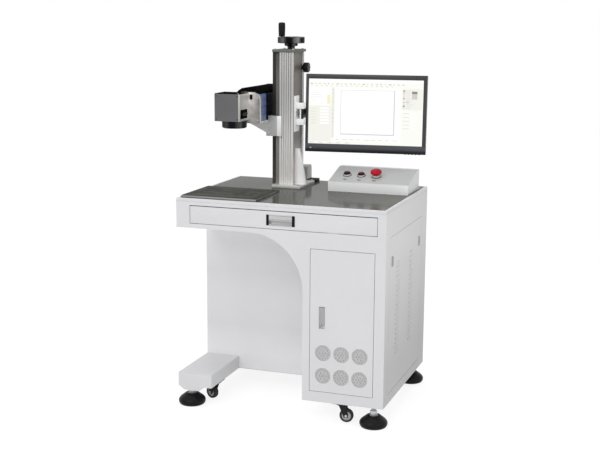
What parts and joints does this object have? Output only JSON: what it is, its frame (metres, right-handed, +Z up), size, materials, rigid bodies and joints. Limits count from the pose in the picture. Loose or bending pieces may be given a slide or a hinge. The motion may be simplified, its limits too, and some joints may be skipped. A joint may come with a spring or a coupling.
{
  "type": "laser marking machine",
  "caption": "Sheet metal work table with drawer, door and knee space, carrying a screw-lifted laser with scan head, a monitor on a hinged arm and a sloped control console.",
  "frame": {"origin": "on the floor, under the centre of the cabinet's footprint", "axes": "+X to the operator's right, +Y from the operator to the back, +Z up"},
  "size_m": [0.8065, 0.635, 1.392],
  "materials": {
    "cabinet_white": "fine matt powder coat",
    "table_grey": "glossy",
    "plate_dark": "dark anodised",
    "zinc_steel": "satin",
    "latch_zinc": "satin",
    "column_aluminium": "anodised satin",
    "cast_grey": "painted casting, satin",
    "laser_blue": "anodised satin",
    "head_grey": "anodised satin",
    "lens_black": "black anodised, glass front",
    "black_plastic": "satin",
    "arm_black": "satin",
    "monitor_black": "glossy bezel",
    "screen_glass": "lit screen with a plain drawing window",
    "black_steel": "satin",
    "box_grey": "satin",
    "duct_grey": "satin",
    "caster_tyre": "matt",
    "button_dark": "glossy",
    "button_red": "glossy",
    "stop_red": "glossy"
  },
  "bodies": {
    "cabinet": {"front_frame": "cabinet_white", "side_left": "cabinet_white", "side_right": "cabinet_white", "knee_panel": "cabinet_white", "arch_liner": "cabinet_white", "floor_pan": "cabinet_white", "rear_panel": "cabinet_white", "tabletop": "cabinet_white", "table_insert": "table_grey", "work_plate": "plate_dark", "runners_fixed": "zinc_steel", "caster_plates": "black_steel", "column_base": "column_aluminium", "column_profile": "column_aluminium", "column_cap": "column_aluminium", "console_shell": "cabinet_white", "monitor_bracket": "cabinet_white", "computer_case": "black_steel", "laser_source": "box_grey", "cable_duct": "duct_grey"},
    "drawer": {"drawer_front": "cabinet_white", "drawer_tray": "zinc_steel", "drawer_pull": "column_aluminium", "runners_moving": "zinc_steel"},
    "door": {"door_panel": "cabinet_white", "latch_cup": "latch_zinc"},
    "door_latch": {"latch_paddle": "latch_zinc"},
    "side_panel": {"side_panel": "cabinet_white"},
    "panel_latch_front": {"panel_latch_front": "latch_zinc"},
    "panel_latch_rear": {"panel_latch_rear": "latch_zinc"},
    "foot_fl": {"foot_fl": "black_plastic"},
    "foot_fr": {"foot_fr": "black_plastic"},
    "foot_bl": {"foot_bl": "black_plastic"},
    "foot_br": {"foot_br": "black_plastic"},
    "caster_fl": {"fork_fl": "black_steel"},
    "caster_fr": {"fork_fr": "black_steel"},
    "caster_bl": {"fork_bl": "black_steel"},
    "caster_br": {"fork_br": "black_steel"},
    "wheel_fl": {"wheel_fl": "caster_tyre"},
    "wheel_fr": {"wheel_fr": "caster_tyre"},
    "wheel_bl": {"wheel_bl": "caster_tyre"},
    "wheel_br": {"wheel_br": "caster_tyre"},
    "handwheel": {"handwheel": "black_plastic", "lead_screw": "zinc_steel"},
    "crank_grip": {"crank_grip": "black_plastic"},
    "carriage": {"carriage": "cast_grey", "laser_bracket": "cast_grey", "laser_body": "laser_blue", "laser_cover": "black_plastic", "laser_ends": "cast_grey", "scan_head": "head_grey", "scan_lens": "lens_black"},
    "clamp_knob": {"clamp_knob": "black_plastic"},
    "monitor_arm": {"monitor_arm": "arm_black"},
    "monitor_head": {"monitor_head": "arm_black"},
    "monitor": {"monitor_housing": "monitor_black", "monitor_screen": "screen_glass"},
    "start_button": {"start_button": "button_dark"},
    "laser_button": {"laser_button": "button_red"},
    "emergency_stop": {"emergency_stop": "stop_red"}
  },
  "joints": [
    {"name": "drawer_slide", "type": "slide", "parent": "cabinet", "child": "drawer", "axis": [0, -1, 0], "range_m": [0, 0.3]},
    {"name": "door_hinge", "type": "hinge", "parent": "cabinet", "child": "door", "pos_m": [0.345, -0.2935, 0.3695], "axis": [0, 0, 1], "range_deg": [0, 110]},
    {"name": "door_latch_lift", "type": "hinge", "parent": "door", "child": "door_latch", "pos_m": [0.164, -0.2975, 0.419], "axis": [-1, 0, 0], "range_deg": [0, 35], "stiffness_Nm_per_rad": 0.1},
    {"name": "side_panel_tilt", "type": "hinge", "parent": "cabinet", "child": "side_panel", "pos_m": [0.388, -0.0135, 0.112], "axis": [0, 1, 0], "range_deg": [0, 30]},
    {"name": "panel_latch_front_turn", "type": "hinge", "parent": "side_panel", "child": "panel_latch_front", "pos_m": [0.39, -0.2085, 0.584], "axis": [1, 0, 0], "range_deg": [0, 90]},
    {"name": "panel_latch_rear_turn", "type": "hinge", "parent": "side_panel", "child": "panel_latch_rear", "pos_m": [0.39, 0.1815, 0.584], "axis": [1, 0, 0], "range_deg": [-90, 0]},
    {"name": "foot_fl_level", "type": "slide", "parent": "cabinet", "child": "foot_fl", "axis": [0, 0, 1], "range_m": [-0.015, 0.01]},
    {"name": "foot_fr_level", "type": "slide", "parent": "cabinet", "child": "foot_fr", "axis": [0, 0, 1], "range_m": [-0.015, 0.01]},
    {"name": "foot_bl_level", "type": "slide", "parent": "cabinet", "child": "foot_bl", "axis": [0, 0, 1], "range_m": [-0.015, 0.01]},
    {"name": "foot_br_level", "type": "slide", "parent": "cabinet", "child": "foot_br", "axis": [0, 0, 1], "range_m": [-0.015, 0.01]},
    {"name": "caster_fl_swivel", "type": "hinge", "parent": "cabinet", "child": "caster_fl", "pos_m": [-0.284, -0.1995, 0.072], "axis": [0, 0, 1], "continuous": true},
    {"name": "wheel_fl_roll", "type": "hinge", "parent": "caster_fl", "child": "wheel_fl", "pos_m": [-0.29987, -0.19341, 0.027], "axis": [-0.3584, -0.9336, 0], "continuous": true},
    {"name": "caster_fr_swivel", "type": "hinge", "parent": "cabinet", "child": "caster_fr", "pos_m": [0.232, -0.266, 0.072], "axis": [0, 0, 1], "continuous": true},
    {"name": "wheel_fr_roll", "type": "hinge", "parent": "caster_fr", "child": "wheel_fr", "pos_m": [0.24893, -0.26452, 0.027], "axis": [-0.0872, 0.9962, 0], "continuous": true},
    {"name": "caster_bl_swivel", "type": "hinge", "parent": "cabinet", "child": "caster_bl", "pos_m": [-0.284, 0.1995, 0.072], "axis": [0, 0, 1], "continuous": true},
    {"name": "wheel_bl_roll", "type": "hinge", "parent": "caster_bl", "child": "wheel_bl", "pos_m": [-0.2925, 0.21422, 0.027], "axis": [-0.866, -0.5, 0], "continuous": true},
    {"name": "caster_br_swivel", "type": "hinge", "parent": "cabinet", "child": "caster_br", "pos_m": [0.232, 0.1995, 0.072], "axis": [0, 0, 1], "continuous": true},
    {"name": "wheel_br_roll", "type": "hinge", "parent": "caster_br", "child": "wheel_br", "pos_m": [0.23781, 0.21547, 0.027], "axis": [-0.9397, 0.342, 0], "continuous": true},
    {"name": "handwheel_turn", "type": "hinge", "parent": "cabinet", "child": "handwheel", "pos_m": [-0.1115, 0.137, 1.294], "axis": [0, 0, 1], "range_deg": [-16205, 12605]},
    {"name": "crank_grip_spin", "type": "hinge", "parent": "handwheel", "child": "crank_grip", "pos_m": [-0.149, 0.137, 1.34], "axis": [0, 0, 1], "continuous": true},
    {"name": "carriage_lift", "type": "slide", "parent": "cabinet", "child": "carriage", "axis": [0, 0, 1], "range_m": [-0.175, 0.225]},
    {"name": "clamp_knob_turn", "type": "hinge", "parent": "cabinet", "child": "clamp_knob", "pos_m": [-0.08, 0.169, 1.224], "axis": [1, 0, 0], "range_deg": [0, 360]},
    {"name": "monitor_arm_swing", "type": "hinge", "parent": "cabinet", "child": "monitor_arm", "pos_m": [-0.057, 0.104, 1.054], "axis": [0, 0, 1], "range_deg": [-60, 4]},
    {"name": "monitor_swivel", "type": "hinge", "parent": "monitor_arm", "child": "monitor_head", "pos_m": [0.16942, 0.2333, 1.054], "axis": [0, 0, 1], "range_deg": [-2, 40]},
    {"name": "monitor_tilt", "type": "hinge", "parent": "monitor_head", "child": "monitor", "pos_m": [0.17235, 0.20948, 1.054], "axis": [0.9925, 0.1219, 0], "range_deg": [-6, 8]},
    {"name": "start_button_push", "type": "slide", "parent": "cabinet", "child": "start_button", "axis": [0, 0.2694, -0.963], "range_m": [0, 0.0025], "stiffness_N_per_m": 600},
    {"name": "laser_button_push", "type": "slide", "parent": "cabinet", "child": "laser_button", "axis": [0, 0.2694, -0.963], "range_m": [0, 0.0025], "stiffness_N_per_m": 600},
    {"name": "emergency_stop_push", "type": "slide", "parent": "cabinet", "child": "emergency_stop", "axis": [0, 0.2694, -0.963], "range_m": [0, 0.005], "stiffness_N_per_m": 1500}
  ],
  "couplings": [
    {"joint": "handwheel_turn", "follows": "carriage_lift", "rad_per_m": -1256.6}
  ]
}
